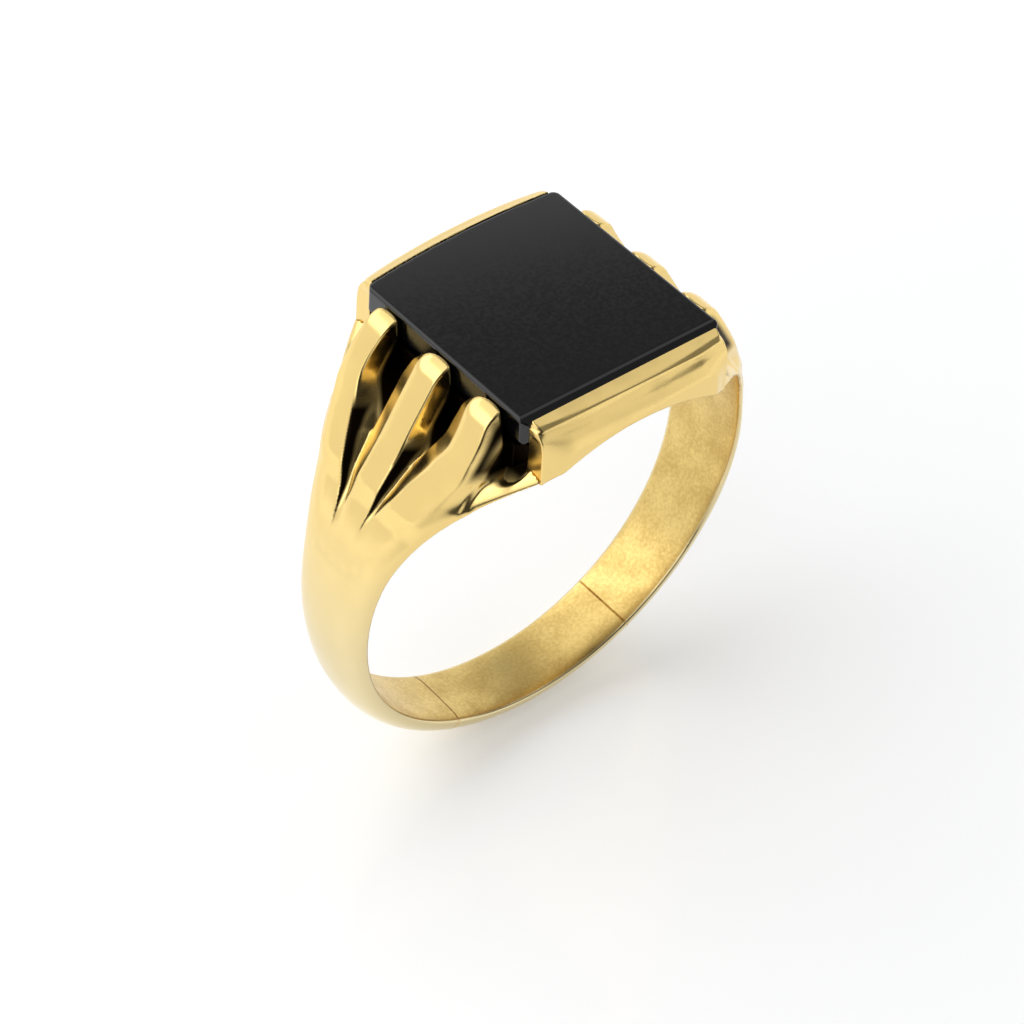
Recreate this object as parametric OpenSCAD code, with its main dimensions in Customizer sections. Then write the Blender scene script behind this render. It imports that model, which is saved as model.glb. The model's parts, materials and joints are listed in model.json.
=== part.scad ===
// Gents' signet ring: a half-round gold band that fans out into three claws on each shoulder,
// two plain cheeks along the finger, and a square black onyx plate held flush between them.
// The origin is the centre of the finger hole. +Y runs along the finger, +Z points at the stone.

/* [Finger hole] */
// Radius of the finger hole
bore_r = 9.7; // [8:0.1:11.5]

/* [Band] */
// Thickness of the band at the back of the finger
band_t = 1.3; // [1.1:0.05:1.8]
// Thickness of the band beside the finger
side_t = 1.0; // [0.8:0.05:1.2]
// Width of the band at the back of the finger
back_w = 3.2; // [2.4:0.1:4]
// Width of the band beside the finger
side_w = 4.2; // [4:0.1:5]
// Radius of the half-round crown across the band
crown_r = 6; // [4:0.1:8]
// Thickness of the band's edge, carried up as a fan under the claws
edge_t = 0.45; // [0.35:0.05:0.6]

/* [Sizing piece] */
// Angle from the back of the band to the left joint
left_joint_a = 26; // [15:1:40]
// Angle from the back of the band to the right joint
right_joint_a = 30; // [15:1:40]
// Angle that each line of solder fills
solder_a = 0.6; // [0.4:0.1:1.5]

/* [Stone] */
// Size of the onyx plate across the finger
stone_x = 10; // [8:0.1:12]
// Size of the onyx plate along the finger
stone_y = 10; // [9.6:0.1:12]
// Thickness of the onyx plate
stone_t = 1.47; // [1.2:0.01:2.5]
// Bevel round the face of the plate
top_bevel = 0.2; // [0.1:0.05:0.3]
// Bevel round the back of the plate
back_bevel = 0.35; // [0.2:0.05:0.5]
// Chamfer on the four upright corners of the plate
corner_cut = 0.25; // [0.1:0.05:0.5]
// Clearance between the back of the plate and the finger hole
finger_gap = 0.1; // [0.05:0.05:0.6]
// Width of the bearers that the plate stands on
bearer_w = 1.1; // [0.8:0.1:1.6]

/* [Cheeks] */
// Length of each cheek across the finger
cheek_x = 9.4; // [7:0.1:9.6]
// How far the rim stands outside the plate
rim_out = 0.6; // [0.4:0.05:0.9]
// How far the rim laps over the bevel of the plate
rim_lap = 0.15; // [0.05:0.01:0.18]
// Height of the rim's sloping top
rim_drop = 0.27; // [0.15:0.01:0.4]
// Height of the rim below its sloping top
rim_h = 0.2; // [0.1:0.05:0.4]
// How far the foot of the cheek stands outside the plate
foot_out = 1.45; // [1:0.05:1.9]
// Radius on the upright corners of each cheek
cheek_round = 0.5; // [0.2:0.05:0.8]

/* [Claws] */
// Radius of the bend over each claw's tip
claw_bend_r = 1.15; // [0.9:0.05:1.4]
// Width of a claw at its tip
claw_w = 1.15; // [0.8:0.05:1.4]
// Width of a claw where it springs from the band
claw_root_w = 1.6; // [1.2:0.05:1.8]
// Distance from the middle claw to an outer one at the plate
claw_pitch = 3.15; // [2.6:0.05:3.4]
// How far an outer claw bows away from the middle one below its tip
claw_bow = 0.3; // [0:0.05:0.35]
// Angle above the centre of the finger hole where the claws spring from the band
root_a = 15; // [12:1:22]
// How far the claw tips stop below the face of the plate
tip_drop = 0.15; // [0.05:0.05:0.18]
// How far the claw tips lap over the bevel of the plate
tip_lap = 0.07; // [0:0.01:0.12]
// Gold left between the hollows beside the claws and the finger hole
hollow_floor = 0.2; // [0.15:0.05:0.3]

/* [Hidden] */
$fn = 96;

gold = [0.86, 0.68, 0.33];
solder = [0.78, 0.62, 0.36];
onyx = [0.06, 0.06, 0.07];

far = 30;                                  // reaches past the whole ring
outer_r = bore_r + side_t;                 // radius of the band's outer circle
outer_z = side_t - band_t;                 // centre of that circle, below the finger hole's
shell_r = bore_r + edge_t;                 // outside of the fan under the claws
half_x = stone_x / 2;
half_y = stone_y / 2;
cheek_hx = cheek_x / 2;
seat_z = bore_r + finger_gap;              // top of the bearers, where the plate stands
table_z = seat_z + stone_t;                // face of the plate
foot_y = half_y + foot_out;                // half width of the ring at the foot of the cheeks
foot_z = sqrt(pow(shell_r, 2) - pow(cheek_hx, 2));
slot_gap = 0.15;                           // strip of fan left bare beside each hollow
bearer_lap = 0.4;                          // least length of each bearer that a cheek is soldered to
drop_z = 0.84 * bore_r;                    // centre of the round end of each drop-shaped hollow

side_power = 1.5;                          // how the band widens from its back to its sides
fan_power = 3.1;                           // how fast the shoulders fan out above the sides
outline_steps = 22;
bend_steps = 6;

// Heights on a claw, where it parts from its neighbour, leans outwards and stands widest
root_z = 0.45 * bore_r;
neck_z = 0.62 * bore_r;
knee_z = 0.93 * bore_r;
spring_a = 30;                             // where a claw's straight back starts
spring_in = 0.2;                           // how far inside the band's outer circle it starts

// Half width of the ring at height z: the plain band, and the fan of the shoulders added to it
function band_hw(z) = (back_w + (side_w - back_w) * pow(1 + z / bore_r, side_power)) / 2;
function fan_hw(z) = (foot_y - band_hw(foot_z)) * pow(max(z, 0) / foot_z, fan_power);
function half_w(z) = band_hw(z) + fan_hw(z);

// Where the middle claw parts from an outer one at height z
function parting_y(z) =
  (claw_root_w + (claw_pitch + claw_bow - claw_root_w) * (z - root_z) / (knee_z - root_z)) / 2;

// Stands an outline given in y and z between two places on X
module along_x(from, to) {
  translate([from, 0, 0]) rotate([90, 0, 90]) linear_extrude(to - from) children();
}

// Gives an outline in x and z a width along the finger, centred
module along_y(width) {
  rotate([90, 0, 0]) linear_extrude(width, center = true) children();
}

// Turns a piece made for the right shoulder into the left one
module on_side(side) {
  if (side > 0) children();
  else mirror([1, 0, 0]) children();
}

module finger_hole() {
  along_y(far) circle(bore_r);
}

// Space between two angles, measured from the back of the band towards +X
module wedge(from, to) {
  middle = (from + to) / 2;
  along_y(far) polygon([[0, 0], far * [sin(from), -cos(from)],
    1.5 * far * [sin(middle), -cos(middle)], far * [sin(to), -cos(to)]]);
}

// The half-round ring that the plain band is cut from
module crowned_ring() {
  translate([0, 0, outer_z]) rotate([90, 0, 0]) rotate_extrude() intersection() {
    translate([outer_r - crown_r, 0]) circle(crown_r);
    translate([bore_r / 2, -crown_r]) square([bore_r, 2 * crown_r]);
  }
}

// The ring's outline along the finger: narrow at the back, fanned out up to the cheeks
module outline() {
  step = (foot_z + bore_r) / outline_steps;
  heights = [for (i = [0 : outline_steps]) i * step - bore_r];
  right = [for (z = heights) [half_w(z), z]];
  left = [for (i = [outline_steps : -1 : 0]) [-right[i][0], right[i][1]]];
  top = [[foot_y, far], [-foot_y, far]];
  bottom = [[-back_w / 2, -far], [back_w / 2, -far]];
  along_x(-far, far) polygon(concat(bottom, right, top, left));
}

// Plain band between two angles
module band_arc(from, to) {
  difference() {
    intersection() {
      union() {
        crowned_ring();
        along_y(far) circle(shell_r);
      }
      outline();
      wedge(from, to);
    }
    finger_hole();
  }
}

module onyx_block() {
  across = [[half_x, seat_z + back_bevel], [half_x, table_z - top_bevel], [half_x - top_bevel, table_z]];
  along = [[half_y, seat_z + back_bevel], [half_y, table_z - top_bevel], [half_y - top_bevel, table_z]];
  back_x = half_x - back_bevel;
  back_y = half_y - back_bevel;
  intersection() {
    along_y(stone_y) polygon([[-back_x, seat_z], [back_x, seat_z], across[0], across[1], across[2],
      [-across[2][0], table_z], [-half_x, across[1][1]], [-half_x, across[0][1]]]);
    along_x(-half_x, half_x) polygon([[-back_y, seat_z], [back_y, seat_z], along[0], along[1], along[2],
      [-along[2][0], table_z], [-half_y, along[1][1]], [-half_y, along[0][1]]]);
    linear_extrude(far) intersection() {
      square([stone_x, stone_y], center = true);
      rotate(45) square((stone_x + stone_y) / sqrt(2) - sqrt(2) * corner_cut, center = true);
    }
  }
}

// Room for the plate and for everything under it
module head_room() {
  translate([-half_x, -half_y, 0]) cube([stone_x, stone_y, table_z - top_bevel]);
}

// The hollows between the claws, and the drop-shaped one beside each outer claw
module shoulder_hollows() {
  knee_y = claw_pitch + claw_bow;
  drop_y = knee_y + claw_w / 2;
  drop_r = (half_y - drop_y) / 2;
  difference() {
    for (turn = [0, 1]) mirror([0, turn, 0]) along_x(0, far) {
      polygon([[parting_y(neck_z), neck_z], [knee_y - claw_w / 2 - slot_gap, knee_z],
        [knee_y - claw_w / 2 - slot_gap, far], [claw_w / 2 + slot_gap, far],
        [claw_w / 2 + slot_gap, knee_z]]);
      translate([drop_y + drop_r, drop_z]) circle(drop_r);
      translate([drop_y, drop_z]) square([2 * drop_r, far]);
    }
    along_y(far) circle(bore_r + hollow_floor);
  }
}

// Share of a shoulder that one claw takes: place is -1, 0 or 1 for the front, middle or back claw
module claw_share(place) {
  low = root_z - 1.5 * claw_root_w;
  if (place == 0)
    along_x(0, far) polygon([[-parting_y(low), low], [parting_y(low), low],
      [parting_y(table_z), table_z], [-parting_y(table_z), table_z]]);
  else
    mirror([0, place > 0 ? 0 : 1, 0]) along_x(0, far) polygon([[parting_y(low), low],
      [far, low], [far, table_z], [parting_y(table_z), table_z]]);
}

// The raised bar of a claw, seen across the finger hole
module claw_strip(place) {
  hw = claw_w / 2;
  root_hw = claw_root_w / 2;
  if (place == 0)
    along_x(0, far) polygon([[-root_hw, 0], [root_hw, 0], [root_hw, root_z], [hw, knee_z], [hw, far],
      [-hw, far], [-hw, knee_z], [-root_hw, root_z]]);
  else
    mirror([0, place > 0 ? 0 : 1, 0]) along_x(0, far) polygon([
      [0, 0], [half_w(root_z) - edge_t, 0], [half_w(root_z) - edge_t, root_z],
      [half_w(neck_z) * 0.73, neck_z], [claw_pitch + claw_bow + hw, knee_z], [claw_pitch + hw, table_z],
      [claw_pitch - hw, table_z], [claw_pitch + claw_bow - hw, knee_z],
      [half_w(neck_z) * 0.4, neck_z], [root_hw, root_z]]);
}

// Side view of a claw: it follows the band, runs straight up and bends over the plate's edge
module claw_side() {
  tip_z = table_z - tip_drop;
  centre = [half_x, tip_z - claw_bend_r];
  spring_r = outer_r - spring_in;
  spring = [spring_r * cos(spring_a), spring_r * sin(spring_a) + outer_z];
  reach = spring - centre;
  bend_a = atan2(reach[1], reach[0]) + acos(claw_bend_r / norm(reach));
  bend = [for (i = [0 : bend_steps]) let (a = bend_a + (90 - bend_a) * i / bend_steps)
    centre + claw_bend_r * [cos(a), sin(a)]];
  along_y(far) {
    translate([0, outer_z]) circle(outer_r);
    polygon(concat([[0, 0], spring], bend, [[half_x - tip_lap, tip_z], [half_x - tip_lap, 0]]));
  }
}

// Right-hand claw, with its share of the fan that lies on the finger
module claw(place) {
  difference() {
    intersection() {
      union() {
        intersection() {
          claw_side();
          claw_strip(place);
        }
        along_y(far) circle(shell_r);
      }
      outline();
      claw_share(place);
      wedge(90 + root_a, 180);
    }
    finger_hole();
    head_room();
    onyx_block();
    along_x(-cheek_hx, cheek_hx) translate([-far, 0]) square([2 * far, far]);
    shoulder_hollows();
  }
}

// Side wall along the finger: a sloping rim over a cove that flares out to the foot
module cheek() {
  rim_y = half_y + rim_out;
  rim_z = table_z - rim_drop;
  cove_z = rim_z - rim_h;
  cove_share = 0.3;                        // how much of the flare is made by its upper half
  cove = [rim_y + cove_share * (foot_y - rim_y), cove_z - cove_share * (cove_z - foot_z)];
  round_c = [cheek_hx - cheek_round, foot_y - cheek_round];
  round_off = [for (a = [0 : 15 : 90]) round_c + cheek_round * [cos(a), sin(a)]];
  plan_end = [for (i = [len(round_off) - 1 : -1 : 0]) [-round_off[i][0], round_off[i][1]]];
  difference() {
    intersection() {
      along_x(-cheek_hx, cheek_hx) polygon([
        [half_y, 0], [half_y, table_z - top_bevel], [half_y - rim_lap, table_z - top_bevel],
        [half_y - rim_lap, table_z], [rim_y, rim_z], [rim_y, cove_z],
        cove, [foot_y, foot_z], [foot_y, 0]]);
      linear_extrude(far) polygon(concat([[-cheek_hx, 0], [cheek_hx, 0]], round_off, plan_end));
    }
    finger_hole();
    onyx_block();
  }
}

// Strip soldered across the head for the plate to stand on
module bearer() {
  inner_x = min(half_x - bearer_w, cheek_hx - bearer_lap);
  difference() {
    translate([inner_x, -half_y, 0]) cube([half_x - inner_x, stone_y, seat_z]);
    finger_hole();
    for (end = [-1, 1]) translate([half_x, end * half_y, 0]) cylinder(h = far, r = bearer_w / 2);
  }
}

module sizing_piece() { color(gold) band_arc(-left_joint_a, right_joint_a); }
module solder_seam_left() { color(solder) band_arc(-left_joint_a - solder_a, -left_joint_a); }
module solder_seam_right() { color(solder) band_arc(right_joint_a, right_joint_a + solder_a); }
module shank_left() { color(gold) band_arc(-90 - root_a, -left_joint_a - solder_a); }
module shank_right() { color(gold) band_arc(right_joint_a + solder_a, 90 + root_a); }
module claw_left_back() { color(gold) on_side(-1) claw(1); }
module claw_left_middle() { color(gold) on_side(-1) claw(0); }
module claw_left_front() { color(gold) on_side(-1) claw(-1); }
module claw_right_back() { color(gold) on_side(1) claw(1); }
module claw_right_middle() { color(gold) on_side(1) claw(0); }
module claw_right_front() { color(gold) on_side(1) claw(-1); }
module cheek_front() { color(gold) mirror([0, 1, 0]) cheek(); }
module cheek_back() { color(gold) cheek(); }
module bearer_left() { color(gold) on_side(-1) bearer(); }
module bearer_right() { color(gold) on_side(1) bearer(); }
module onyx_plate() { color(onyx) onyx_block(); }

sizing_piece();
solder_seam_left();
solder_seam_right();
shank_left();
shank_right();
claw_left_back();
claw_left_middle();
claw_left_front();
claw_right_back();
claw_right_middle();
claw_right_front();
cheek_front();
cheek_back();
bearer_left();
bearer_right();
onyx_plate();
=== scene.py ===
"""A gents' signet ring in yellow gold with a black onyx plate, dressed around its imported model.

The ring stands on the back of its band. Lengths are worked out in millimetres in the ring's own
frame: the origin is the centre of the finger hole, +Y runs along the finger and +Z points at the
stone. Meshes are scaled to metres as they are made.
"""
import json
from math import cos, pi, radians, sin

import bmesh
import bpy
import numpy as np
from mathutils import Matrix, Vector


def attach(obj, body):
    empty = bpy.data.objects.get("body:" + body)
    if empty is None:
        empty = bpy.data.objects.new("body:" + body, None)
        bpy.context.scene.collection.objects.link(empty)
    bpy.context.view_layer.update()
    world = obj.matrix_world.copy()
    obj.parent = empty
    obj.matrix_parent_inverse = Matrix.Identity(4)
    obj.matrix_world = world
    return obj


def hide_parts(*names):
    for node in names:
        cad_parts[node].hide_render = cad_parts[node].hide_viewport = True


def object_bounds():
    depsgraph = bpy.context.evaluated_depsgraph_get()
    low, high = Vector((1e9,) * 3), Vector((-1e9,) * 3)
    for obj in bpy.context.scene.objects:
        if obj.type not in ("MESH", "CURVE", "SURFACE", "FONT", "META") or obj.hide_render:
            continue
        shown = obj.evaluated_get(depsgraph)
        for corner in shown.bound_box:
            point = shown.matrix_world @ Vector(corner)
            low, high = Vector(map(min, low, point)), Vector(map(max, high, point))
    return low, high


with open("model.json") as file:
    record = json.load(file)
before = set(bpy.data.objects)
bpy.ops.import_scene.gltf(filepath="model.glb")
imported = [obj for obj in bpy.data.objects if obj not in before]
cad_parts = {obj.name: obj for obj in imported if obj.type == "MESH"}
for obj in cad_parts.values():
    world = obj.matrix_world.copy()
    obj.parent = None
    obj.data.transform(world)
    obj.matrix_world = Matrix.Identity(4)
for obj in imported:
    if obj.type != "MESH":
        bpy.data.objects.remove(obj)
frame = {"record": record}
cad_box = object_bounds()


# ---- Camera -------------------------------------------------------------------------------------
# A macro lens stands about 136 mm from the ring, off its front left shoulder, and looks down on
# the stone at 44 degrees.
MM = 0.001
SENSOR_MM = 36.0
LENS_MM = 114.47
CAMERA_TURN = radians(42.0)
CAMERA_LIFT = radians(44.07)
CAMERA_ROLL = radians(4.33)
CAMERA_AWAY_MM = 135.6
CAMERA_ASIDE_MM = Vector((-0.60, -0.10))
NEAR_LIMIT_MM = 5.0

towards = Vector((-sin(CAMERA_TURN) * cos(CAMERA_LIFT), -cos(CAMERA_TURN) * cos(CAMERA_LIFT),
                  sin(CAMERA_LIFT)))
level = Vector((cos(CAMERA_TURN), -sin(CAMERA_TURN), 0.0))
upright = towards.cross(level)
across = level * cos(CAMERA_ROLL) + upright * sin(CAMERA_ROLL)
upwards = upright * cos(CAMERA_ROLL) - level * sin(CAMERA_ROLL)

lens = bpy.data.cameras.new("macro_lens")
lens.sensor_width = SENSOR_MM
lens.lens = LENS_MM
lens.clip_start = NEAR_LIMIT_MM * MM
camera = bpy.data.objects.new("camera", lens)
place = towards * CAMERA_AWAY_MM + across * CAMERA_ASIDE_MM.x + upwards * CAMERA_ASIDE_MM.y
turned = Matrix((across, upwards, towards)).transposed().to_4x4()
camera.matrix_world = Matrix.Translation(place * MM) @ turned
bpy.context.collection.objects.link(camera)
bpy.context.scene.camera = camera
bpy.context.scene.view_settings.view_transform = "Standard"


# ---- Floor and light ----------------------------------------------------------------------------
# White gloss acrylic in a white light tent. The tent's walls are bright and its roof is dim, so the
# plate looks black. A dark opening on the front side draws dark lines in the polished metal.
def linear(hex_colour):
    """Linear RGBA for an sRGB colour written as RRGGBB."""
    parts = [int(hex_colour[i:i + 2], 16) / 255 for i in (0, 2, 4)]
    return (*[p / 12.92 if p <= 0.04045 else ((p + 0.055) / 1.055) ** 2.4 for p in parts], 1.0)


def add(tree, kind, inputs=None, output=0, **settings):
    """Adds a node, sets it up, fills or links its inputs by name or number, and returns one output."""
    node = tree.nodes.new(kind)
    for name, value in settings.items():
        setattr(node, name, value)
    for key, value in (inputs or {}).items():
        if isinstance(value, bpy.types.NodeSocket):
            tree.links.new(value, node.inputs[key])
        else:
            node.inputs[key].default_value = value
    return node.outputs[output] if node.outputs else node


FLOOR_HALF = 3.0                                # in metres
FLOOR_WHITE = "F4F4F4"
FLOOR_ROUGHNESS, ACRYLIC_IOR = 0.12, 1.49
FLOOR_GLOW, GLOW_WHITE = 0.28, "FAFCFF"         # light that comes up through the acrylic
TENT_STRENGTH, ROOF_STRENGTH = 1.0, 0.25        # walls and roof of the tent
ROOF_TILT = (0.186, -0.167, 1.0)                # up, leaning a little towards the front right
ROOF_EDGE = (0.610, 0.652)                      # where walls turn to roof along that direction
OPENING = (-0.48, -0.87, 0.10)                  # towards the dark opening
OPENING_EDGE = (0.45, 0.85)
OPENING_SHARE = 0.04
ROOF_PANEL = (0.49, 0.02, 0.87)                 # towards a round bright panel in the roof
ROOF_PANEL_EDGE = (cos(radians(21)), cos(radians(13)))
ROOF_PANEL_STRENGTH = 0.85

floor_mesh = bpy.data.meshes.new("floor")
floor_mesh.from_pydata([(x * FLOOR_HALF, y * FLOOR_HALF, cad_box[0][2]) for x, y in
                        ((-1, -1), (1, -1), (1, 1), (-1, 1))], [], [(0, 1, 2, 3)])
floor = bpy.data.objects.new("floor", floor_mesh)
bpy.context.collection.objects.link(floor)
# Cast acrylic sheet with a gloss face: nearly white, with a soft reflection where the ring stands.
acrylic = bpy.data.materials.new("white_gloss_acrylic")
acrylic.use_nodes = True
shader = acrylic.node_tree.nodes["Principled BSDF"]
shader.inputs["Base Color"].default_value = linear(FLOOR_WHITE)
shader.inputs["Roughness"].default_value = FLOOR_ROUGHNESS
shader.inputs["IOR"].default_value = ACRYLIC_IOR
shader.inputs["Emission Color"].default_value = linear(GLOW_WHITE)
shader.inputs["Emission Strength"].default_value = FLOOR_GLOW
floor.data.materials.append(acrylic)

tent = bpy.data.worlds.new("light_tent")
bpy.context.scene.world = tent
tent.use_nodes = True
sky = tent.node_tree
sky.nodes.clear()
direction = add(sky, "ShaderNodeTexCoord")


def lobe(aim, edge, levels):
    """Brightness that runs from one level to the other as a direction turns towards aim."""
    facing = add(sky, "ShaderNodeVectorMath", {0: direction, 1: aim}, output="Value",
                 operation="DOT_PRODUCT")
    return add(sky, "ShaderNodeMapRange", {"Value": facing, "From Min": edge[0], "From Max": edge[1],
                                           "To Min": levels[0], "To Max": levels[1]},
               interpolation_type="SMOOTHSTEP")


front = lobe(OPENING, OPENING_EDGE, (1.0, OPENING_SHARE))
walls = lobe(ROOF_TILT, ROOF_EDGE, (TENT_STRENGTH, ROOF_STRENGTH))
panel = lobe(ROOF_PANEL, ROOF_PANEL_EDGE, (0.0, ROOF_PANEL_STRENGTH))
roof = add(sky, "ShaderNodeMath", {0: walls, 1: panel}, operation="MAXIMUM")
tent_light = add(sky, "ShaderNodeMath", {0: roof, 1: front}, operation="MULTIPLY")
seen = add(sky, "ShaderNodeLightPath")
shade = add(sky, "ShaderNodeMix", {"Factor": seen, "A": tent_light, "B": TENT_STRENGTH}, data_type="FLOAT")
light = add(sky, "ShaderNodeBackground", {"Color": (1, 1, 1, 1), "Strength": shade})
add(sky, "ShaderNodeOutputWorld", {"Surface": light})


def softbox(name, place_mm, size_mm, watts):
    """A square light panel that faces the middle of the finger hole."""
    lamp = bpy.data.lights.new(name, "AREA")
    lamp.shape = "SQUARE"
    lamp.size = size_mm * MM
    lamp.energy = watts
    box = bpy.data.objects.new(name, lamp)
    start = Vector(place_mm) * MM
    box.matrix_world = Matrix.Translation(start) @ (-start).to_track_quat("-Z", "Y").to_matrix().to_4x4()
    bpy.context.collection.objects.link(box)


softbox("back_panel", (-200, 290, 460), 720, 1.6)
softbox("left_panel", (-430, -60, 380), 560, 0.8)


# ---- Gold casting: band -------------------------------------------------------------------------
# The band is a half-round strip of yellow gold bent round the finger, wider beside the finger than
# behind it. A short sizing piece is let into its back between two lines of solder.
BORE = frame["record"]["mounts"][0]["dims"]["r_mm"]
CREST_T, SIDE_T = 1.3, 1.0                      # thickness at the back and beside the finger
BACK_W, SIDE_W = 3.2, 4.2                       # width at the back and beside the finger
EDGE = 0.16                                     # how far the inside is eased off towards its edges
OUTER_R = BORE + SIDE_T                         # the band's outer circle and its centre's height
OUTER_Z = SIDE_T - CREST_T
CHEEK_HX = 4.7                                  # half the length of a cheek
FOOT_HW = 6.45                                  # half the head's width at the cheeks' feet
FOOT_Z = 8.99
SIDE_POWER, FAN_POWER = 1.5, 3.1
SEAM_LEFT, SEAM_RIGHT, SEAM = radians(-26), radians(30), radians(0.6)  # lines of solder, and their width
ROOT = radians(105)                             # where the claws spring, from the back of the band
LEAST_SLOPE = 0.3                               # a field is divided by its own slope, at least this
CORE = 0.05                                     # heart of the section, where that slope is held


def half_width(z):
    """Half width of the ring at height z: the plain band, and the fan of the shoulders."""
    band = BACK_W / 2 + (SIDE_W - BACK_W) / 2 * np.clip(1 + z / BORE, 0, None) ** SIDE_POWER
    full = BACK_W / 2 + (SIDE_W - BACK_W) / 2 * (1 + FOOT_Z / BORE) ** SIDE_POWER
    return band + (FOOT_HW - full) * (np.clip(z, 0, None) / FOOT_Z) ** FAN_POWER


def length(*parts):
    """Length of a vector given by its parts."""
    return np.sqrt(sum(p * p for p in parts))


def half_round(x, y, z, thickness):
    """Field of the half-round section at each point: below zero inside the metal."""
    radius = length(x, z)
    wide = half_width(z * BORE / np.maximum(radius, 1))
    high = radius - BORE - EDGE
    rise = thickness - EDGE
    outer = length(y / wide, np.maximum(high, 0) / rise) - 1
    slope = length(y / (wide * wide), np.maximum(high, 0) / (rise * rise)) / np.maximum(outer + 1, CORE)
    under = -high - EDGE * np.sqrt(np.clip(1 - (y / wide) ** 4, 0, 1))
    return np.maximum(outer / np.maximum(slope, LEAST_SLOPE), under)


def band_thickness(x, z):
    """Thickness of the plain band, whose outer circle is a little lower than its inner one."""
    radius = np.maximum(length(x, z), 1e-6)
    sine, cosine = x / radius, -z / radius
    return -OUTER_Z * cosine + np.sqrt(OUTER_R ** 2 - (OUTER_Z * sine) ** 2) - BORE


def band_field(x, y, z):
    return half_round(x, y, z, band_thickness(x, z))


def gradient(field, points, step=0.01):
    """Outward direction of a field at points in millimetres."""
    out = np.empty_like(points)
    for axis in range(3):
        shift = np.zeros(3)
        shift[axis] = step
        out[:, axis] = field(*(points + shift).T) - field(*(points - shift).T)
    return out / np.maximum(np.linalg.norm(out, axis=1), 1e-9)[:, None]


def dress(name, mesh, field, node, finish, painted_shade=None):
    """Makes a piece of a mesh in metres, with its field's own direction as its normals.

    The last argument gives how much shade is painted on each point, from 0 to 1, by how deep in a hollow it
    lies. Flat cut ends stay flat."""
    points = np.empty(len(mesh.vertices) * 3)
    mesh.vertices.foreach_get("co", points)
    points = points.reshape(-1, 3) / MM
    normals = gradient(field, points)
    corners = np.empty(len(mesh.loops), int)
    mesh.loops.foreach_get("vertex_index", corners)
    corner_normals = normals[corners]
    for face in mesh.polygons:
        if len(face.vertices) > 4:
            corner_normals[face.loop_start:face.loop_start + face.loop_total] = face.normal
    mesh.polygons.foreach_set("use_smooth", np.ones(len(mesh.polygons), bool))
    mesh.normals_split_custom_set(corner_normals.tolist())
    recess = mesh.attributes.new("recess", "FLOAT", "POINT")
    recess.data.foreach_set("value", np.zeros(len(points)) if painted_shade is None else painted_shade(*points.T))
    mesh.materials.clear()
    mesh.materials.append(finish)
    piece = bpy.data.objects.new(name, mesh)
    bpy.context.collection.objects.link(piece)
    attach(piece, "root")
    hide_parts(node)
    return piece


def material(name):
    """An empty material with its tree, its shader and a position in millimetres."""
    made = bpy.data.materials.new(name)
    made.use_nodes = True
    tree = made.node_tree
    spot = add(tree, "ShaderNodeVectorMath", {0: add(tree, "ShaderNodeTexCoord", output="Object"),
                                              "Scale": 1 / MM}, operation="SCALE")
    return made, tree, tree.nodes["Principled BSDF"], spot


def span(tree, value, low, high, to_low, to_high):
    """Maps a value from one span to another, held at the ends."""
    return add(tree, "ShaderNodeMapRange", {"Value": value, "From Min": low, "From Max": high,
                                            "To Min": to_low, "To Max": to_high},
               interpolation_type="SMOOTHSTEP")


def blend(tree, factor, a, b, kind="RGBA"):
    """Mixes two colours or two values."""
    slots = {"RGBA": (6, 7, 2), "FLOAT": (2, 3, 0)}[kind]
    return add(tree, "ShaderNodeMix", {0: factor, slots[0]: a, slots[1]: b}, output=slots[2],
               data_type=kind)


def noise(tree, spot, scale, detail=3.0, stretch=(1, 1, 1)):
    """Cloudy noise with so many patches to the millimetre, stretched by the given shares."""
    place = add(tree, "ShaderNodeVectorMath", {0: spot, 1: stretch}, operation="MULTIPLY")
    return add(tree, "ShaderNodeTexNoise", {"Vector": place, "Scale": scale, "Detail": detail}, output=0)


CLOUDS, SPECKS, GRAIN, HAIRS = 0.7, 7.0, 14.0, 3.0   # patches to the millimetre
HAIR_STRETCH = (1.0, 9.0, 1.0)                  # polishing scratches run round the band
SPECK_DETAIL, FINE_DETAIL = 6.0, 4.0
CLOUD_SPAN, BLOTCH_SPAN = (0.35, 0.65), (0.6, 1.4)
PAINTED_HIGHLIGHT_Z = (-3, 7)                                # painted highlight, paler lower down: palest below the first height, as the head above the second
HOLE_SKIN = (0.05, 0.12)                        # how far from the finger hole its wear reaches
HOLE_ROUGH = (0.3, 0.42)                        # satin left by the inside buff
BLOOM = 0.09                                    # how much duller the cloudiest patches are
RELIEF_OUT, RELIEF_IN = 0.35, 0.6
RELIEF_MM = 0.004                               # depth of the scratches
PAINTED_SHADE_COLOUR = "120B05"                                 # painted shade: the colour the gold turns to deep in the hollows


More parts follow.
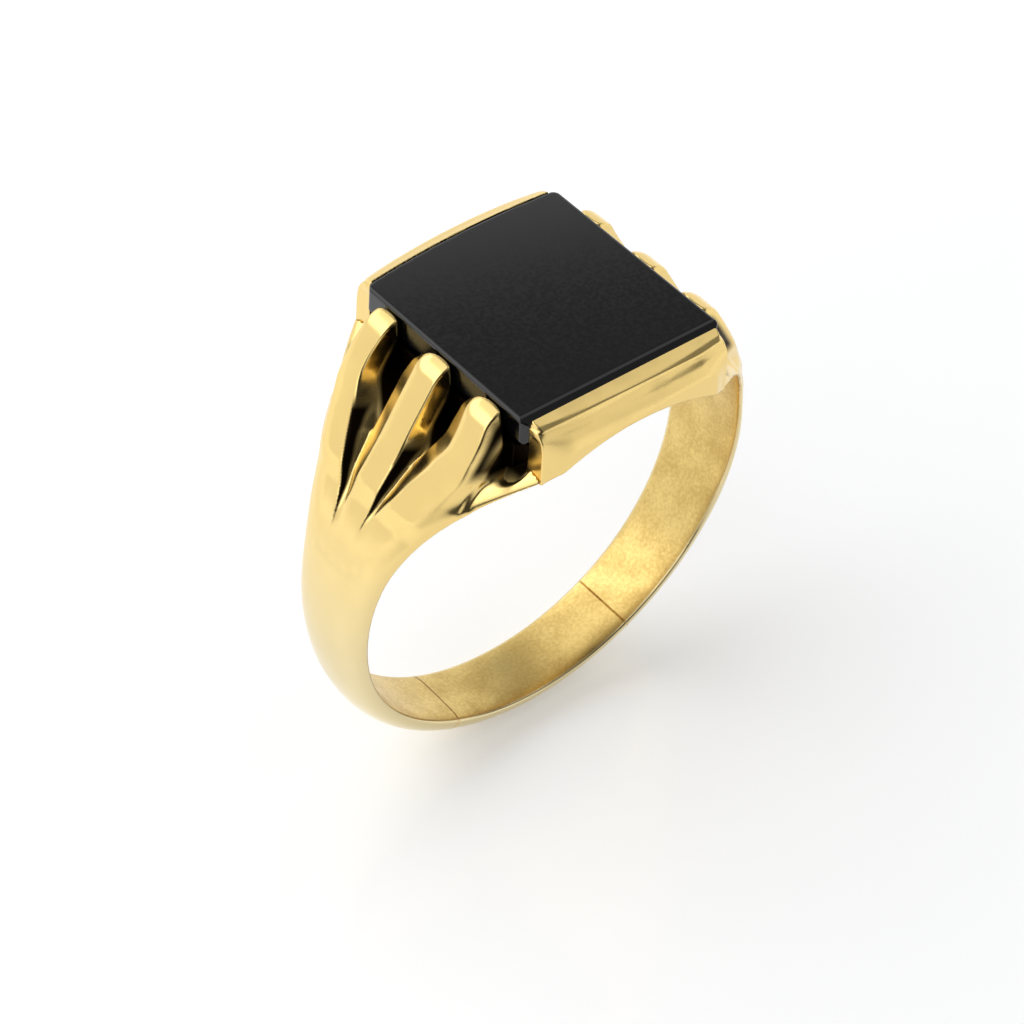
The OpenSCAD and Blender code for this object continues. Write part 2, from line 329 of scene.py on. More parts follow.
def precious(name, colour, pale, worn, patchy, rough, dull):
    """Gold alloy: bright where it is worn and blotched inside the finger hole, paler low on the band as a
    painted highlight, and darkened in the hollows as painted shade.

    A metal, so its colour is its reflection: pale yellow, softened by a bloom of fine scratches."""
    made, tree, shader, spot = material(name)
    axial = add(tree, "ShaderNodeVectorMath", {0: spot, 1: (1, 0, 1)}, operation="MULTIPLY")
    radius = add(tree, "ShaderNodeVectorMath", {0: axial}, output="Value", operation="LENGTH")
    inside = span(tree, radius, BORE + HOLE_SKIN[0], BORE + HOLE_SKIN[1], 1.0, 0.0)
    clouds = noise(tree, spot, CLOUDS)
    specks = noise(tree, spot, SPECKS, SPECK_DETAIL)
    both = add(tree, "ShaderNodeMath", {0: clouds, 1: specks}, operation="ADD")
    blotch = span(tree, both, *BLOTCH_SPAN, 0, 1)
    inner = blend(tree, blotch, linear(worn), linear(patchy))
    height = add(tree, "ShaderNodeSeparateXYZ", {0: spot}, output="Z")
    # Painted highlight: the outside turns paler towards the back of the band.
    outer = blend(tree, span(tree, height, *PAINTED_HIGHLIGHT_Z, 1, 0), linear(colour), linear(pale))
    open_colour = blend(tree, inside, outer, inner)
    # Painted shade: a per-point attribute turns the gold towards a near-black brown and dulls it in the
    # hollows.
    painted_shade = add(tree, "ShaderNodeAttribute", output="Fac", attribute_name="recess")
    tree.links.new(blend(tree, painted_shade, open_colour, linear(PAINTED_SHADE_COLOUR)), shader.inputs["Base Color"])
    shader.inputs["Metallic"].default_value = 1.0
    outer_rough = span(tree, clouds, *CLOUD_SPAN, rough, rough + BLOOM)
    inner_rough = blend(tree, blotch, *HOLE_ROUGH, "FLOAT")
    open_rough = blend(tree, inside, outer_rough, inner_rough, "FLOAT")
    tree.links.new(blend(tree, painted_shade, open_rough, dull, "FLOAT"), shader.inputs["Roughness"])
    hairs = noise(tree, spot, HAIRS, FINE_DETAIL, HAIR_STRETCH)
    grain = noise(tree, spot, GRAIN, FINE_DETAIL)
    relief = add(tree, "ShaderNodeMath", {0: hairs, 1: grain}, operation="ADD")
    deep = blend(tree, inside, RELIEF_OUT, RELIEF_IN, "FLOAT")
    bump = add(tree, "ShaderNodeBump", {"Strength": deep, "Distance": RELIEF_MM * MM, "Height": relief})
    tree.links.new(bump, shader.inputs["Normal"])
    return made


# The second colour is the paler tone painted low on the band as a highlight.
gold = precious("polished_9ct_gold", "F0D288", "E4D3A4", "E6CA80", "CBAC66", 0.14, 0.45)

# The half-round strip follows the finger, and its width and thickness follow from the angle, so
# one tree sweeps every stretch of it.
ALONG_STEP = radians(0.6)
ROUND_STEPS = 96

strip = bpy.data.node_groups.new("half_round_strip", "GeometryNodeTree")
for label in ("From", "To", "Steps"):
    strip.interface.new_socket(label, in_out="INPUT", socket_type="NodeSocketFloat")
strip.interface.new_socket("Material", in_out="INPUT", socket_type="NodeSocketMaterial")
strip.interface.new_socket("Geometry", in_out="OUTPUT", socket_type="NodeSocketGeometry")
sizes = strip.nodes.new("NodeGroupInput").outputs


def calc(operation, a, b=0.0):
    """A sum in the strip's tree."""
    return add(strip, "ShaderNodeMath", {0: a, 1: b}, operation=operation)


def marked(curve, label):
    """A curve with each point's place along it kept for after the sweep."""
    keep = strip.nodes.new("GeometryNodeCaptureAttribute")
    keep.capture_items.new("FLOAT", label)
    strip.links.new(curve, keep.inputs[0])
    strip.links.new(add(strip, "GeometryNodeSplineParameter"), keep.inputs[1])
    return keep.outputs[0], keep.outputs[1]


count = add(strip, "FunctionNodeFloatToInt", {0: sizes["Steps"]}, rounding_mode="ROUND")
line = add(strip, "GeometryNodeCurvePrimitiveLine")
line, along = marked(add(strip, "GeometryNodeResampleCurve", {"Curve": line, "Count": count}), "along")
ring, around = marked(add(strip, "GeometryNodeCurvePrimitiveCircle", {"Resolution": ROUND_STEPS}), "around")
sweep = add(strip, "GeometryNodeCurveToMesh", {"Curve": line, "Profile Curve": ring, "Fill Caps": True})

turn = calc("ADD", sizes["From"], calc("MULTIPLY", along, calc("SUBTRACT", sizes["To"], sizes["From"])))
sine, cosine = calc("SINE", turn), calc("COSINE", turn)
dip = calc("MULTIPLY", sine, OUTER_Z)
rise = calc("SQRT", calc("SUBTRACT", OUTER_R ** 2, calc("POWER", dip, 2.0)))
thick = calc("SUBTRACT", calc("SUBTRACT", rise, calc("MULTIPLY", cosine, OUTER_Z)), BORE + EDGE)
low = calc("SUBTRACT", 1.0, cosine)
plain = calc("MULTIPLY", calc("POWER", low, SIDE_POWER), (SIDE_W - BACK_W) / 2)
head_w = FOOT_HW - (half_width(0.0) - BACK_W / 2) * (1 + FOOT_Z / BORE) ** SIDE_POWER - BACK_W / 2
high = calc("MULTIPLY", calc("MAXIMUM", calc("MULTIPLY", cosine, -1.0), 0.0), BORE / FOOT_Z)
wide = calc("ADD", calc("ADD", plain, BACK_W / 2), calc("MULTIPLY", calc("POWER", high, FAN_POWER), head_w))
roll = calc("MULTIPLY", around, 2 * pi)
sideways, outward = calc("COSINE", roll), calc("SINE", roll)
over = calc("MULTIPLY", calc("MAXIMUM", outward, 0.0), thick)
fourth = calc("POWER", calc("ABSOLUTE", sideways), 4.0)
flat_share = calc("SQRT", calc("MAXIMUM", calc("SUBTRACT", 1.0, fourth), 0.0))
under = calc("MULTIPLY", calc("MULTIPLY", flat_share, calc("LESS_THAN", outward, 0.0)), -EDGE)
radius = calc("ADD", calc("ADD", over, under), BORE + EDGE)
spot = add(strip, "ShaderNodeCombineXYZ", {
    "X": calc("MULTIPLY", calc("MULTIPLY", radius, sine), MM),
    "Y": calc("MULTIPLY", calc("MULTIPLY", sideways, wide), MM),
    "Z": calc("MULTIPLY", calc("MULTIPLY", radius, cosine), -MM)})
placed = add(strip, "GeometryNodeSetPosition", {"Geometry": sweep, "Position": spot})
whole = add(strip, "GeometryNodeRealizeInstances", {"Geometry": placed})
coated = add(strip, "GeometryNodeSetMaterial", {"Geometry": whole, "Material": sizes["Material"]})
add(strip, "NodeGroupOutput", {"Geometry": coated})


def stretch(name, start, end, finish, slot):
    """Sweeps one stretch of the half-round strip and makes it the piece for the node of that name."""
    seed = bpy.data.objects.new(name + "_seed", bpy.data.meshes.new(name + "_seed"))
    bpy.context.collection.objects.link(seed)
    maker = seed.modifiers.new("strip", "NODES")
    maker.node_group = strip
    values = {"From": start, "To": end, "Steps": float(max(3, round((end - start) / ALONG_STEP) + 1)),
              "Material": finish}
    for item in strip.interface.items_tree:
        if item.name in values:
            maker[item.identifier] = values[item.name]
    grown = seed.evaluated_get(bpy.context.evaluated_depsgraph_get())
    mesh = bpy.data.meshes.new_from_object(grown)
    bpy.data.objects.remove(seed)
    faces = bmesh.new()
    faces.from_mesh(mesh)
    bmesh.ops.recalc_face_normals(faces, faces=faces.faces)
    faces.to_mesh(mesh)
    faces.free()
    mesh.name = name
    return dress(name, mesh, band_field, name, finish)


stretch("sizing_piece", SEAM_LEFT, SEAM_RIGHT, gold, "gold")
stretch("shank_left", -ROOT, SEAM_LEFT - SEAM, gold, "gold")
stretch("shank_right", SEAM_RIGHT + SEAM, ROOT, gold, "gold")


# ---- Solder -------------------------------------------------------------------------------------
# The two lines of gold solder that close the band on each side of the sizing piece. They were
# filed flush and polished with the band. Solder is a browner alloy than the casting, so the lines
# show inside the finger hole and hardly anywhere else.
solder = precious("gold_solder", "E2C78A", "E2C78A", "B08744", "7A5626", 0.3, 0.45)

stretch("solder_seam_left", SEAM_LEFT - SEAM, SEAM_LEFT, solder, "solder")
stretch("solder_seam_right", SEAM_RIGHT, SEAM_RIGHT + SEAM, solder, "solder")


# ---- Claws --------------------------------------------------------------------------------------
# Three gold bars spring from each end of the band, part from each other and bend over the edge of
# the stone. Each was filed to a flat crest with sloping flanks, and the gaps were pierced with a saw.
TABLE_Z = 11.27
STONE_H = 5.0                                   # half the plate's width
BEVEL = 0.2                                     # the claws clear the bevel of the plate's face
SEAT_Z = 9.8                                    # underside of the plate
SQRT2 = 2 ** 0.5
TIP_Z = TABLE_Z - 0.15                          # top of the claws' tips
TIP_X, TIP_CURVE = STONE_H + 0.02, 0.35         # a tip's end, hollowed towards the stone
BEND_R = 1.15                                   # radius of the bend over the plate's edge
SPRING = radians(34)                            # where the claws' straight backs meet the band's circle
LIFT = (radians(31), radians(37))               # where the side view changes from one to the other
SPRING_FILLET = 0.5                             # and the fillet between them
CREST_HW = 0.57                                 # half width of a crest
CREST_SWELL = 0.14                              # how much wider the outer crests are half-way up
SWELL_UP, SWELL_DOWN = (6.2, 7.2), (8.2, 9.2)   # heights between which that comes and goes
CREST_SINK, SINK_Z = 0.3, (1.5, 4.2)            # the crests sink into the band below
CREST_ROUND, FLANK_ROUND, TIP_ROUND, BAR_ROUND = 0.16, 0.07, 0.12, 0.1
MIDDLE_Y = -0.13                                # the middle claw leans a little to the front
LINE_LOW, LINE_SPREAD, LINE_BACK = 1.2, 2.15, 0.15   # an outer crest's run away from the middle
LINE_Z, LINE_BACK_Z = (3.6, 9.4), (9.6, 11)
BEVEL_RUN = 0.98                                # width of the filed slope on each claw's back side
BEVEL_FALL = 31.0                               # that slope's fall in degrees
FLANK_FALL, FLANK_Z = (48.0, 74.0), (7.6, 8.9)  # fall of the front side, low down and under the tip
OUTER_FALL, OUTER_Z_SPAN = (24.0, 68.0), (6.2, 8.2)  # the same for the sides that face the cheeks
GROOVE_R, GROOVE_SOFT, SOFT_Z = 0.06, 0.3, (4.4, 6.2)  # fillet in a groove, softer at its lower end
FAN_R, FAN_SOFT, FAN_SOFT_Z = 0.03, 0.12, (2.8, 4.4)   # fillet between the crests and the fan
FAN_T, FAN_Z = 0.42, (2.6, 6.2)                 # thickness of the fan between the claws
RIM_T, RIM_Z = 0.62, (7.4, 9.4)                 # and of its rim outside them
RIM_BLEND = 0.3
TIER, TIER_Z, TIER_R = 0.78, 7.0, 0.2           # how far the fan lies under the crests by the stone
SEAT_R = 0.08
JOIN_R = 0.12                                   # fillet beside the stone, and rounding of the hollows' rims
FLOOR_R = BORE + 0.2                            # bottom of the hollows
HOLLOW_Z, HOLLOW_R = 7.3, 0.2                   # where the hollows between the claws begin
DROP_Y, DROP_Z, DROP_R = 4.68, 8.78, 0.5        # drop-shaped hollow beside each outer claw
DROP_FLARE = 0.1
EDGE_R = 0.05                                   # rounding of the finger hole's and bearers' edges
SQUARE_Z, SQUARE = (2.0, 8.0), 6.0              # the outline turns from half-round to squarer
LEAST_T = 0.3                                   # least height of the outline above the finger hole
CELL = 0.06                                     # spacing of the points that a skin is drawn from


def ease(low, high, value):
    """Rises smoothly from 0 at low to 1 at high."""
    share = np.clip((value - low) / (high - low), 0, 1)
    return share * share * (3 - 2 * share)


def join(a, b, r):
    """The two shapes as one, with a fillet of about r where they meet."""
    share = np.clip(0.5 + 0.5 * (b - a) / r, 0, 1)
    return b * (1 - share) + a * share - r * share * (1 - share)


def trim(a, b, r):
    """What the two shapes share, with a rounding of about r where they meet."""
    return -join(-a, -b, r)


def side_view(x, z):
    """Field of the claws' side view: the band's outer circle, a straight run and the bend."""
    bend_x, bend_z = STONE_H, TIP_Z - BEND_R
    spring_x, spring_z = OUTER_R * cos(SPRING), OUTER_R * sin(SPRING) + OUTER_Z
    reach_x, reach_z = spring_x - bend_x, spring_z - bend_z
    lean = np.arctan2(reach_z, reach_x) + np.arccos(BEND_R / np.hypot(reach_x, reach_z))
    circle = length(x, z - OUTER_Z) - OUTER_R
    run = (x - bend_x) * cos(lean) + (z - bend_z) * sin(lean) - BEND_R
    bend = length(x - bend_x, z - bend_z) - BEND_R
    turned = np.arctan2(z - bend_z, x - bend_x) > lean
    claw = np.where(turned, np.where(x < bend_x, z - TIP_Z, bend), run)
    lifted = ease(*LIFT, np.arctan2(z, x))
    return circle * (1 - lifted) + join(circle, claw, SPRING_FILLET) * lifted


def claw_line(z):
    """Distance of an outer claw's crest from the middle one's at height z."""
    return LINE_LOW + LINE_SPREAD * ease(*LINE_Z, z) - LINE_BACK * ease(*LINE_BACK_Z, z)


def fall(past, depth, degrees):
    """Field of a slope that leaves the crest at past = 0 and falls at so many degrees."""
    angle = np.radians(degrees)
    return past * np.sin(angle) - depth * np.cos(angle)


def outline(y, z, radius, side):
    """Field of the shoulder's outline: half-round like the band low down and squarer beside the stone."""
    wide = half_width(z * BORE / radius)
    power = 2 + SQUARE * ease(*SQUARE_Z, z)
    thick = np.maximum(radius - BORE - EDGE - side, LEAST_T)
    up = np.maximum(radius - BORE - EDGE, 0) / thick
    out = np.abs(y) / wide
    slope = length(power * out ** (power - 1) / wide, 2 * up / thick)
    return (out ** power + up * up - 1) / np.maximum(slope, LEAST_SLOPE)


def claw_bars(y, z, x, side, depth):
    """Fields of the three crests with their slopes, and of the gaps between them."""
    line = claw_line(z)
    swell = CREST_HW + CREST_SWELL * ease(*SWELL_UP, z) * (1 - ease(*SWELL_DOWN, z))
    crest = side + CREST_SINK * (1 - ease(*SINK_Z, z))
    steep = FLANK_FALL[0] + (FLANK_FALL[1] - FLANK_FALL[0]) * ease(*FLANK_Z, z)
    outside = OUTER_FALL[0] + (OUTER_FALL[1] - OUTER_FALL[0]) * ease(*OUTER_Z_SPAN, z)
    soft = GROOVE_R + GROOVE_SOFT * (1 - ease(*SOFT_Z, z))
    bars, gaps, reach = 1.0, 1.0, None
    for middle, half in ((-line, swell), (MIDDLE_Y, CREST_HW), (line, swell)):
        aside = y - middle
        if middle is line:
            back = fall(aside - half, depth, outside)
        else:
            back = np.maximum(fall(aside - half, depth, BEVEL_FALL), aside - half - BEVEL_RUN)
        front = fall(-aside - half, depth, outside if reach is None else steep)
        bar = trim(trim(crest, back, CREST_ROUND), front, FLANK_ROUND)
        bar = trim(bar, TIP_X - x + TIP_CURVE * aside * aside, TIP_ROUND)
        if reach is not None:
            flank = aside + half + depth / np.tan(np.radians(steep))
            gaps = np.minimum(gaps, np.maximum(reach - y, flank))
        bars = join(bars, bar, soft)
        reach = middle + half + BEVEL_RUN
    return bars, gaps


def shoulder_field(x, y, z):
    """Field of one shoulder: three claws, the fan that joins them and the hollows between them."""
    side = side_view(x, z)
    radius = length(x, z)
    bars, gaps = claw_bars(y, z, x, side, np.maximum(-side, 0))
    bars = trim(bars, outline(y, z, radius, side), BAR_ROUND)
    full = band_thickness(x, z)
    inner = full + (FAN_T - full) * ease(*FAN_Z, z)
    outer = full + (RIM_T - full) * ease(*RIM_Z, z)
    share = ease(-RIM_BLEND, RIM_BLEND, np.abs(y) - claw_line(z))
    fan = half_round(x, y, z, inner * (1 - share) + outer * share)
    tier = trim(trim(side + TIER, z - SEAT_Z, SEAT_R), np.abs(y) - DROP_Y + DROP_R, TIER_R)
    seam = FAN_R + FAN_SOFT * ease(*FAN_SOFT_Z, z)
    metal = join(join(bars, fan, seam), np.maximum(tier, TIER_Z - z), JOIN_R)
    drop_y = np.abs(y) - DROP_Y
    slot = np.abs(drop_y) - DROP_R + DROP_FLARE * (z - DROP_Z)
    drop = np.where(z > DROP_Z, slot, length(drop_y, z - DROP_Z) - DROP_R)
    hollow = np.maximum(np.minimum(trim(gaps, HOLLOW_Z - z, HOLLOW_R), drop), FLOOR_R - radius)
    metal = trim(metal, -hollow, JOIN_R)
    across_share = np.clip(1 - (y / half_width(z * BORE / radius)) ** 4, 0, 1)
    inside = -(radius - BORE - EDGE) - EDGE * np.sqrt(across_share)
    stone = np.maximum(np.maximum(x, np.abs(y)) - STONE_H, SEAT_Z - z)
    stone = np.maximum(stone, (x - STONE_H + z - TABLE_Z + BEVEL) / SQRT2)
    return np.maximum(np.maximum(trim(metal, inside, EDGE_R), -stone), CHEEK_HX - x)


SHADE_FROM = (0.1, 0.18)                        # how far from the finger hole the shade starts
BETWEEN_DEPTH, BESIDE_DEPTH, WEDGE_DEPTH = (0.6, 0.9), (0.75, 1.1), (0.2, 0.5)
BESIDE_Z, WEDGE_Z = (8.0, 8.6), (8.2, 8.9)
BETWEEN_END, BESIDE_END = (-0.3, 0.2), (5.0, 5.25)
FLANK_SHARE, FLANK_END, FLANK_UP, FLANK_DOWN = (0.66, 0.8), (0.96, 1.0), (4.0, 4.8), (7.9, 8.6)
WEDGE_START, WEDGE_END = (0.5, 0.65), (4.1, 4.4)


def shoulder_painted_shade(x, y, z):
    """How much shade is painted on each point, from 0 to 1: deep in the hollows beside the claws, and as a
    painted dark reflection on the claws' flanks.
    """
    x = np.abs(x)
    depth = -side_view(x, z)
    past = np.abs(y) - claw_line(z)
    between = ease(*BETWEEN_DEPTH, depth) * (1 - ease(*BETWEEN_END, past))
    beside = ease(*BESIDE_DEPTH, depth) * ease(*BESIDE_Z, z) * (1 - ease(*BESIDE_END, np.abs(y)))
    flank = 0
    for near, far in ((claw_line(z), MIDDLE_Y), (-MIDDLE_Y, claw_line(z))):
        share = (y + near - CREST_HW) / (far + near - 2 * CREST_HW)
        flank = np.maximum(flank, ease(*FLANK_SHARE, share) * (1 - ease(*FLANK_END, share)))
    flank = flank * ease(*FLANK_UP, z) * (1 - ease(*FLANK_DOWN, z))
    wedge = ease(*WEDGE_DEPTH, depth) * ease(*WEDGE_Z, z)
    wedge = wedge * ease(*WEDGE_START, past) * (1 - ease(*WEDGE_END, np.abs(y)))
    shade = np.maximum(np.maximum(between, beside), np.maximum(wedge, flank))
    return ease(BORE + SHADE_FROM[0], BORE + SHADE_FROM[1], length(x, z)) * shade


SETTLE_PASSES, NUDGE = 3, 0.004                 # steps that settle a skin on its field, and their probe
LEAST_PUSH = 0.2
WELD = 1e-7                                     # in metres


def skin(field, low, high, cell):
    """Closed surface of a field inside a box, as vertices in millimetres and four-sided faces."""
    axes = [np.arange(a, b + cell, cell) for a, b in zip(low, high)]
    grid = field(axes[0][:, None, None], axes[1][None, :, None], axes[2][None, None, :])
    inside = grid < 0
    shape = [n - 1 for n in grid.shape]
    total, hits = np.zeros((*shape, 3)), np.zeros(shape)
    corner = lambda a, i, j, k: a[i:i + shape[0], j:j + shape[1], k:k + shape[2]]
    for axis in range(3):
        for p in (0, 1):
            for q in (0, 1):
                start = [p, q]
                start.insert(axis, 0)
                end = list(start)
                end[axis] = 1
                f0, f1 = corner(grid, *start), corner(grid, *end)
                cut = corner(inside, *start) != corner(inside, *end)
                share = np.where(cut, f0 / np.where(cut, f0 - f1, 1), 0)
                for k in range(3):
                    total[..., k] += cut * (start[k] + (share if k == axis else 0))
                hits += cut
    used = hits > 0
    number = np.full(shape, -1)
    number[used] = np.arange(used.sum())
    cells = np.argwhere(used)
    points = np.array([a[0] for a in axes]) + cell * (cells + total[used] / hits[used][:, None])
    faces = []
    for axis in range(3):
        rest = [k for k in range(3) if k != axis]
        first = [slice(1, -1)] * 3
        second = [slice(1, -1)] * 3
        first[axis], second[axis] = slice(0, -1), slice(1, None)
        a, b = inside[tuple(first)], inside[tuple(second)]
        spots = np.argwhere(a != b) + [0 if k == axis else 1 for k in range(3)]
        leaving = inside[tuple(spots.T)]
        ring = []
        for p, q in ((0, 0), (1, 0), (1, 1), (0, 1)):
            back = np.zeros(3, int)
            back[rest[0]], back[rest[1]] = p, q
            ring.append(number[tuple((spots - back).T)])
        ring = np.stack(ring, 1)
        forward = leaving if axis != 1 else ~leaving
        faces.append(np.where(forward[:, None], ring, ring[:, ::-1]))
    for _ in range(SETTLE_PASSES):
        push = np.stack([(field(*(points + d).T) - field(*(points - d).T)) / (2 * NUDGE)
                         for d in np.eye(3) * NUDGE], 1)
        size = np.maximum((push ** 2).sum(1), LEAST_PUSH)
        move = push * (field(*points.T) / size)[:, None]
        points -= np.clip(move, -cell / 2, cell / 2)
    return points, np.concatenate(faces)


def solid(name, points, faces, cuts):
    """Closed mesh of a skin, cut by planes. What lies beyond a plane's point, along its direction, goes."""
    shape = bmesh.new()
    mesh = bpy.data.meshes.new(name)
    mesh.from_pydata((points * MM).tolist(), [], faces.tolist())
    shape.from_mesh(mesh)
    for at, out in cuts:
        parts = shape.verts[:] + shape.edges[:] + shape.faces[:]
        bmesh.ops.bisect_plane(shape, geom=parts, dist=WELD, plane_co=Vector(at) * MM, plane_no=out,
                               clear_outer=True)
        rim = [edge for edge in shape.edges if edge.is_boundary]
        bmesh.ops.holes_fill(shape, edges=rim, sides=0)
    loose = [v for v in shape.verts if not v.link_faces]
    bmesh.ops.delete(shape, geom=loose, context="VERTS")
    shape.normal_update()
    shape.to_mesh(mesh)
    shape.free()
    return mesh


# The three claws of a shoulder part on two planes that open upwards between the crests.
PARTING_Z, PARTING_HW, PARTING_SLOPE = 4.365, 0.8, 0.199
SHOULDER_BOX = ((4.4, -6.9, 1.9), (11.2, 6.9, 11.5))
shoulder_skin = skin(shoulder_field, *SHOULDER_BOX, CELL)
for side, hand in ((1, "right"), (-1, "left")):
    points, faces = shoulder_skin
    points = points * (side, 1, 1)
    faces = faces if side > 0 else faces[:, ::-1]
    root = ((0, 0, 0), (side * sin(ROOT - pi / 2), 0, -cos(ROOT - pi / 2)))
    for row, label in ((-1, "front"), (0, "middle"), (1, "back")):
        cuts = [root]
        for wing in (-1, 1):
            beyond = Vector((0, wing, -PARTING_SLOPE))
            at = (0, wing * PARTING_HW, PARTING_Z)
            if row == 0:
                cuts.append((at, beyond))
            elif row == wing:
                cuts.append((at, -beyond))
        name = f"claw_{hand}_{label}"
        mesh = solid(name, points, faces, cuts)
        dress(name, mesh, lambda x, y, z: shoulder_field(side * x, y, z), name, gold,
              shoulder_painted_shade)


# ---- Cheeks -------------------------------------------------------------------------------------
# Gold side walls along the finger. Each has a rim that slopes down from the stone, a cove under it
# and a foot that flares out to the finger hole.
BOW, BOW_MIDDLE, BOW_REACH = 0.42, 1.5, 6.0
FACE_Y, COVE_TOP_Z = 5.46, 10.9
FACE_SWELL = 0.14                               # the cove fades out towards the right
FLARE = (0.42, 0.5)                             # flare of the foot at the ends, and more in the middle
FLARE_RUN = (0.28, 0.45)                        # how far down it takes
FOOT_Y = 6.2
RIM_Y, RIM_BOW = 5.64, 0.008
RIM_LOW_Z = 10.8
RIM_INNER_Y, RIM_RUN, RIM_DROP = 5.0, 0.6, 0.27  # the rim's top falls so much over its width
RIM_END, RIM_END_Y, RIM_END_R = 4.15, 5.1, 0.5
COVE_R = 0.28
END_FADE, SWELL_X, LIFT_Z = (3.2, 4.8), (-2.5, 3.5), (9.8, 10.6)
TOP_R, SIDE_R, WALL_R, RIM_R, LEDGE_R, CORNER_R, HOLE_R = 0.1, 0.25, 0.06, 0.2, 0.16, 0.06, 0.1
FACE_LEAN = 0.85                                # evens out the field on the sloping face
CHEEK_BOX, CHEEK_CELL = ((-5.0, 4.6, 8.0), (5.0, 6.9, 11.5)), 0.055


def bow(x):
    """How far the plate's back edge bows outwards, where it was ground a little past square."""
    return BOW * (1 - ((x - BOW_MIDDLE) / BOW_REACH) ** 2)


def cheek_field(x, y, z):
    """Field of the front cheek, turned to +Y: the rim, the cove under it and the flared foot."""
    end = np.abs(x)
    middle = 1 - ease(*END_FADE, end)
    under = np.clip(COVE_TOP_Z - z, 0, None)
    flare = 1 - np.exp(-under / (FLARE_RUN[0] + FLARE_RUN[1] * middle))
    face = FACE_Y + FACE_SWELL * ease(*SWELL_X, x) * middle + (FLARE[0] + FLARE[1] * middle) * flare
    block = trim(end - CHEEK_HX, y - FOOT_Y, SIDE_R)
    wall = trim(trim((y - face) * FACE_LEAN, z - COVE_TOP_Z, TOP_R), block, WALL_R)
    slope = ((y - RIM_INNER_Y) * RIM_DROP + (z - TABLE_Z) * RIM_RUN) / np.hypot(RIM_DROP, RIM_RUN)
    rim = trim(trim(slope, y - RIM_Y + RIM_BOW * x * x, RIM_R), RIM_LOW_Z - z, LEDGE_R)
    corner = length(np.maximum(end - RIM_END, 0), np.maximum(y - RIM_END_Y, 0)) - RIM_END_R
    metal = join(wall, trim(rim, corner, CORNER_R), COVE_R)
    return np.maximum(trim(metal, BORE - length(x, z), HOLE_R), STONE_H - y)


def back_cheek_field(x, y, z):
    """Field of the back cheek, whose rim follows the plate's bowed edge."""
    lifted = ease(*LIFT_Z, z)
    return np.maximum(cheek_field(x, y - lifted * bow(x), z), STONE_H + lifted * bow(x) - y)


for label, field, turn_y in (("front", cheek_field, -1), ("back", back_cheek_field, 1)):
    points, faces = skin(field, *CHEEK_BOX, CHEEK_CELL)
    mesh = solid(f"cheek_{label}", points * (1, turn_y, 1), faces if turn_y > 0 else faces[:, ::-1], [])
    dress(f"cheek_{label}", mesh, lambda x, y, z: field(x, turn_y * y, z), f"cheek_{label}", gold)


# ---- Bearers ------------------------------------------------------------------------------------
# Two gold strips soldered across the head for the stone to stand on. Their ends are scalloped and
# their lower side is rounded with the finger hole.
BEARER_X, BEARER_HW = 4.45, 0.55
SCALLOP_R = 0.5
BEARER_BOX, BEARER_CELL = ((3.6, -5.2, 8.0), (5.2, 5.2, 10.1)), 0.07


def bearer_field(x, y, z):
    """Field of both bearers: a strip with a scallop out of each outer corner."""
    x = np.abs(x)
    bar = trim(trim(np.abs(x - BEARER_X) - BEARER_HW, z - SEAT_Z, SEAT_R), np.abs(y) - STONE_H, EDGE_R)
    scallop = np.maximum(length(x - STONE_H, np.abs(y) - STONE_H) - SCALLOP_R, FLOOR_R - length(x, z))
    return trim(trim(bar, BORE - length(x, z), EDGE_R), -scallop, EDGE_R)


def bearer_painted_shade(x, y, z):
    """Shade painted over all of a bearer but its underside, which lies in shadow."""
    return ease(BORE + SHADE_FROM[0], BORE + SHADE_FROM[1], length(x, z))


bearer_skin = skin(bearer_field, *BEARER_BOX, BEARER_CELL)
for side, label in ((1, "right"), (-1, "left")):
    points, faces = bearer_skin
    mesh = solid(f"bearer_{label}", points * (side, 1, 1), faces if side > 0 else faces[:, ::-1], [])
    dress(f"bearer_{label}", mesh, bearer_field, f"bearer_{label}", gold, bearer_painted_shade)


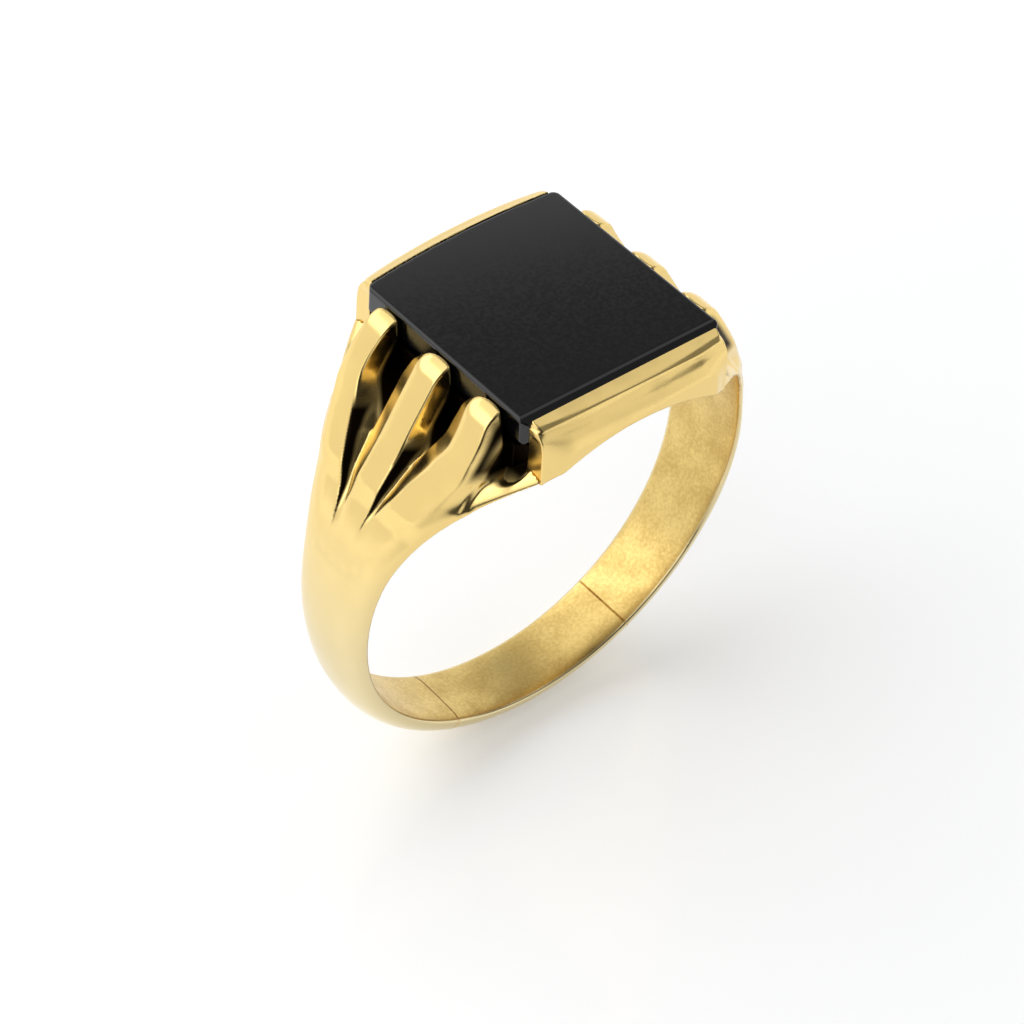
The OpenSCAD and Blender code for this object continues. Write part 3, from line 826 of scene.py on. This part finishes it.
# ---- Onyx plate ---------------------------------------------------------------------------------
# A square plate of black-dyed chalcedony, sawn, ground and polished to a gloss with a faint cloudy
# grain. Its face is bevelled all round, most along the front cheek, and its back and corners are
# bevelled to drop into the setting, where the claws and the cheeks' rims hold it.
STONE_R = 0.05
ONYX_IOR, ONYX_ROUGH = 1.54, (0.06, 0.12)
ONYX_GRAIN, ONYX_DETAIL = 6.0, 6.0              # patches to the millimetre
GRAIN_SPAN = (0.3, 0.7)
STONE_BOX, STONE_CELL = ((-5.2, -5.2, 9.6), (5.2, 5.7, 11.45)), 0.08
FRONT_BEVEL_Y, FRONT_FALL = -4.6, 0.6
FACE_BEVEL, BACK_BEVEL, CORNER = 4.92, 4.65, 9.75

onyx, tree, shader, spot = material("polished_onyx")
grain = noise(tree, spot, ONYX_GRAIN, ONYX_DETAIL)
tree.links.new(blend(tree, grain, linear("040405"), linear("08080A")), shader.inputs["Base Color"])
tree.links.new(span(tree, grain, *GRAIN_SPAN, *ONYX_ROUGH), shader.inputs["Roughness"])
shader.inputs["IOR"].default_value = ONYX_IOR


def stone_field(x, y, z):
    """Field of the plate: flat sides, a wide bevel along the front cheek and narrow ones elsewhere."""
    y = y - bow(x) * np.clip(y / STONE_H, 0, 1)
    x = np.abs(x)
    far = np.maximum(x, np.abs(y))
    slab = trim(z - TABLE_Z, SEAT_Z - z, STONE_R)
    sides = trim(trim(x, np.abs(y), STONE_R) - STONE_H, slab, STONE_R)
    front = ((FRONT_BEVEL_Y - y) * FRONT_FALL + (z - TABLE_Z)) / np.hypot(FRONT_FALL, 1)
    narrow = ((far - FACE_BEVEL) + (z - TABLE_Z)) / SQRT2
    back = ((far - BACK_BEVEL) + (SEAT_Z - z)) / SQRT2
    corner = (x + np.abs(y) - CORNER) / SQRT2
    return trim(trim(trim(sides, np.maximum(front, narrow), STONE_R), back, STONE_R), corner, STONE_R)


points, faces = skin(stone_field, *STONE_BOX, STONE_CELL)
dress("onyx_plate", solid("onyx_plate", points, faces, []), stone_field, "onyx_plate", onyx)
